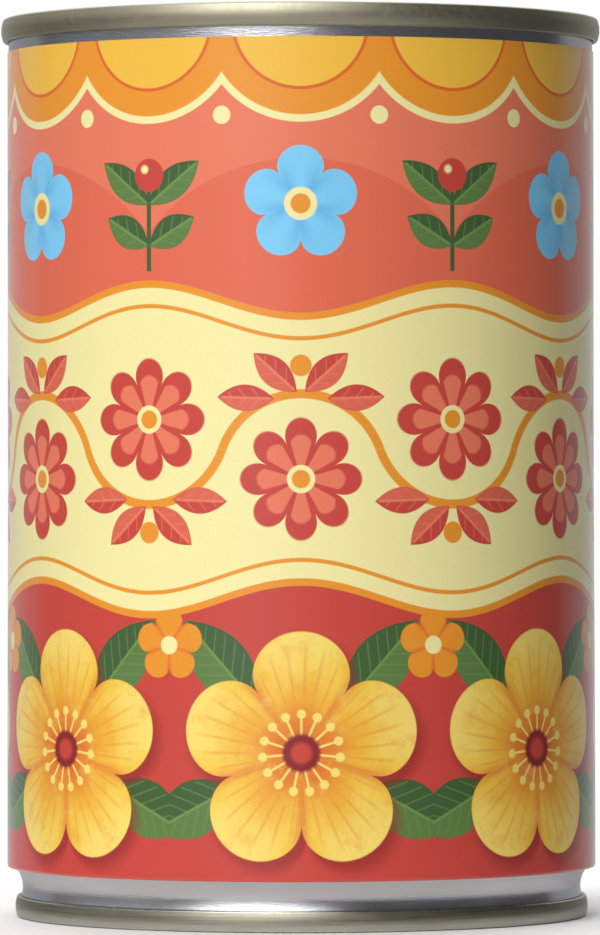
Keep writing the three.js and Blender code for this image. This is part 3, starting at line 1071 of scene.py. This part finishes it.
def small_flowers(graph, colour, around, up):
    """Small flowers between the large ones."""
    step = LABEL_TURN / GREAT_FLOWERS
    x, y = (around + step / 2).wrapped(step), up - SMALL_FLOWER_HEIGHT
    share, fold = flower(graph, x, y, SMALL_FLOWER_REACH, FLOWER_PETALS)
    colour = graph.layer(colour, ORANGE, share.under(1, 0.03))
    colour = graph.layer(colour, ORANGE_RED, share.under(1, 0.03) * fold.rise(0, 0.5, 0.7, 0))
    return graph.layer(colour, CREAM, graph.hypot(x, y).under(SMALL_FLOWER_HEART))


def band(graph, colour, around, up):
    """A wide cream band with waved edges and a thin line inside each edge."""
    wave = (around * (2 * math.pi * BAND_WAVES / LABEL_TURN)).cosine() * BAND_SWING
    room = (BAND_HIGH - BAND_LOW) / 2 - abs(up - (BAND_HIGH + BAND_LOW) / 2) - wave
    colour = graph.layer(colour, ORANGE, room.over(-BAND_BORDER))
    colour = graph.layer(colour, CREAM, room.over(0))
    line = abs(room - BAND_LINE_INSET).under(BAND_LINE_WIDTH / 2)
    return graph.layer(colour, ORANGE, line)


def vine(graph, colour, around, up):
    """A scrolling vine along the band: an arc round each rosette, over and under by turns, with leaves
    and a bud on its crest."""
    step = LABEL_TURN / VINE_ARCHES
    radius = math.hypot(step / 2, ROSETTE_DROP)
    for start, side in ((0, 1), (step, -1)):
        x = (around - start).wrapped(2 * step)
        y = (up - (BAND_LOW + BAND_HIGH) / 2) * side + ROSETTE_DROP
        away = graph.hypot(x, y)
        crest = (y - abs(x) * (2 * ROSETTE_DROP / step)).over(0)
        colour = graph.layer(colour, ORANGE, abs(away - radius).under(VINE_WIDTH / 2) * crest)
        for form in VINE_LEAVES:
            colour = leaf(graph, colour, abs(x), y - radius, form, (RED, CORAL))
        colour = graph.layer(colour, ORANGE, graph.hypot(x, y - radius - BUD_LIFT).under(BUD_RADIUS))
        share, fold = flower(graph, x, y, ROSETTE_REACH, ROSETTE_PETALS)
        colour = graph.layer(colour, RED, share.under(1, 0.025))
        colour = graph.layer(colour, CORAL, share.under(0.72, 0.03) * fold.over(0.45, 0.1))
        colour = graph.layer(colour, CREAM, away.under(ROSETTE_HEART))
        colour = graph.layer(colour, ORANGE, away.under(ROSETTE_CORE))
    return colour


def printed_paper(graph):
    """Coated paper with the print under a gloss varnish."""
    x, y, z = graph.place()
    around = graph.angle(x, -y) * LABEL_RADIUS
    up = z - LABEL_BOTTOM
    colour = graph.layer(CORAL, DEEP_CORAL, up.rise(*GROUND_FADE) * 0.4)
    colour = hills(graph, colour, around, up)
    colour = scallops(graph, colour, around, up)
    colour = sky_flowers(graph, colour, around, up)
    colour = graph.layer(colour, RED, up.under((BAND_LOW + BAND_HIGH) / 2))
    colour = great_flowers(graph, colour, around, up)
    colour = small_flowers(graph, colour, around, up)
    colour = band(graph, colour, around, up)
    colour = vine(graph, colour, around, up)
    grain = graph.noise(x * 5, y * 5, z * 5, detail=4, roughness=0.6)
    press = graph.noise(x * 1.2, y * 1.2, z / 30, detail=3)
    colour = graph.layer(colour, SHADE_RED, grain.rise(0.35, 0.75) * 0.045)
    return {
        "Base Color": colour,
        "Roughness": grain.rise(0.25, 0.75, 0.45, 0.6),
        "Specular IOR Level": 0.3,
        "Coat Weight": 1,
        "Coat Roughness": 0.14,
        "Normal": graph.bump(press * 0.7 + grain * 0.3, 0.01),
    }


# The studio's soft lights. Each spans a middle angle, a half width and a softness in azimuth, which is
# measured from the front towards +X, and in elevation. An edge is an angle and a softness

KEY_AZIMUTH = (-20, 23, 18)
KEY_ELEVATION = (40, 20, 20)
KEY_RADIANCE = 7.1
LEFT_AZIMUTH = (-85, 40, 30)
LEFT_ELEVATION = (34, 22, 18)
LEFT_RADIANCE = 0.65
LOW_AZIMUTH = (-20, 15, 15)
LOW_ELEVATION = (4, 12, 12)
LOW_RADIANCE = 0.45
BACKDROP_EDGE = (124, 6)
BACKDROP_RADIANCE = 0.2
BACKDROP_RISE = (120, 172)
BACKDROP_RISE_RADIANCE = 0.32
HIGH_EDGE = (130, 20)
HIGH_ELEVATION = (46, 22, 14)
HIGH_RADIANCE = 1.4
CEILING_EDGE = (62, 14)
CEILING_RADIANCE = 0.55
BOUNCE_EDGE = (-14, 8)
BOUNCE_AZIMUTH = (-20, 70, 45)
BOUNCE_RADIANCE = 0.7
DIM_RADIANCE = 0.06


def lobe(value, middle, half, soft):
    """1 within half of a middle value, falling softly to 0."""
    return abs(value - middle).under(half, soft)


def studio_light():
    """Soft light: a strong key high at the front left, weaker light from the left, from behind, above and
    below, and a dim right side. The camera itself sees plain white."""
    world = bpy.data.worlds.new("studio")
    bpy.context.scene.world = world
    world.use_nodes = True
    graph = Graph(world.node_tree)
    where = graph.node("ShaderNodeTexCoord")
    split = graph.node("ShaderNodeSeparateXYZ", {0: Field(graph, where.outputs["Generated"])})
    x, y, z = [Field(graph, output) for output in split.outputs]
    azimuth = graph.angle(x, -y) * (180 / math.pi)
    elevation = graph.math("ARCSINE", z) * (180 / math.pi)
    aside = abs(azimuth)
    key = lobe(azimuth, *KEY_AZIMUTH) * lobe(elevation, *KEY_ELEVATION)
    left = lobe(azimuth, *LEFT_AZIMUTH) * lobe(elevation, *LEFT_ELEVATION)
    low = lobe(azimuth, *LOW_AZIMUTH) * lobe(elevation, *LOW_ELEVATION)
    high = aside.over(*HIGH_EDGE) * lobe(elevation, *HIGH_ELEVATION)
    bounce = elevation.under(*BOUNCE_EDGE) * lobe(azimuth, *BOUNCE_AZIMUTH)
    light = key * KEY_RADIANCE + left * LEFT_RADIANCE + low * LOW_RADIANCE + high * HIGH_RADIANCE
    light += aside.over(*BACKDROP_EDGE) * BACKDROP_RADIANCE
    light += aside.rise(*BACKDROP_RISE) * BACKDROP_RISE_RADIANCE
    light += elevation.over(*CEILING_EDGE) * CEILING_RADIANCE
    light += bounce * BOUNCE_RADIANCE + DIM_RADIANCE
    shown = graph.node("ShaderNodeLightPath")
    seen = Field(graph, shown.outputs["Is Camera Ray"])
    strength = light * (1 - seen) + seen
    background = graph.node("ShaderNodeBackground", {"Color": (1, 1, 1, 1), "Strength": strength})
    output = graph.node("ShaderNodeOutputWorld")
    world.node_tree.links.new(background.outputs[0], output.inputs[0])
    bpy.context.scene.view_settings.view_transform = "Standard"


def studio_floor():
    """A round pale floor under the can, with more rings near it."""
    rings = np.geomspace(FLOOR_FIRST_RING, FLOOR_RADIUS, FLOOR_RINGS)
    outline = [(0, 0), *[(radius, 0) for radius in rings]]
    outline += [(rings[-1], -FLOOR_THICKNESS), (0, -FLOOR_THICKNESS)]
    vertices, faces = turned(outline, even_turn(FLOOR_STEPS))
    piece("studio_floor", vertices, faces, [material("pale_floor", pale_floor)])


# The photograph's frame and focal length in pixels, and where its camera stood; the clips are in metres

IMAGE_HEIGHT = 935
FOCAL_PIXELS = 7063.6
CAMERA_DISTANCE = 884.5
CAMERA_HEIGHT = 55.99
CAMERA_ASIDE = -0.12
CAMERA_ROLL = 0.0015
SENSOR = 36
CLIP_START = 0.1
CLIP_END = 20


def photo_camera():
    data = bpy.data.cameras.new("photo_camera")
    data.sensor_width = SENSOR
    data.lens = FOCAL_PIXELS * SENSOR / IMAGE_HEIGHT
    data.clip_start = CLIP_START
    data.clip_end = CLIP_END
    camera = bpy.data.objects.new("photo_camera", data)
    bpy.context.scene.collection.objects.link(camera)
    camera.location = Vector((CAMERA_ASIDE, -CAMERA_DISTANCE, CAMERA_HEIGHT)) * MM
    camera.rotation_euler = Euler((math.pi / 2, CAMERA_ROLL, 0))
    bpy.context.scene.camera = camera


def main():
    photo_camera()
    studio_light()
    studio_floor()
    lacquer = material("lacquered_plate", lacquered_plate)
    tab = material("tab_plate", tab_plate)
    can_body(material("tinplate", tinplate))
    top_end(lacquer)
    lid_rivet(lacquer)
    base_end(lacquer)
    pull_tab(tab)
    tab_tongue(tab)
    paper_label(material("printed_paper", printed_paper), material("bare_paper", bare_paper))
    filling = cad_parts["fruit_in_syrup"].data.materials
    filling.clear()
    filling.append(material("syrup", syrup))


main()
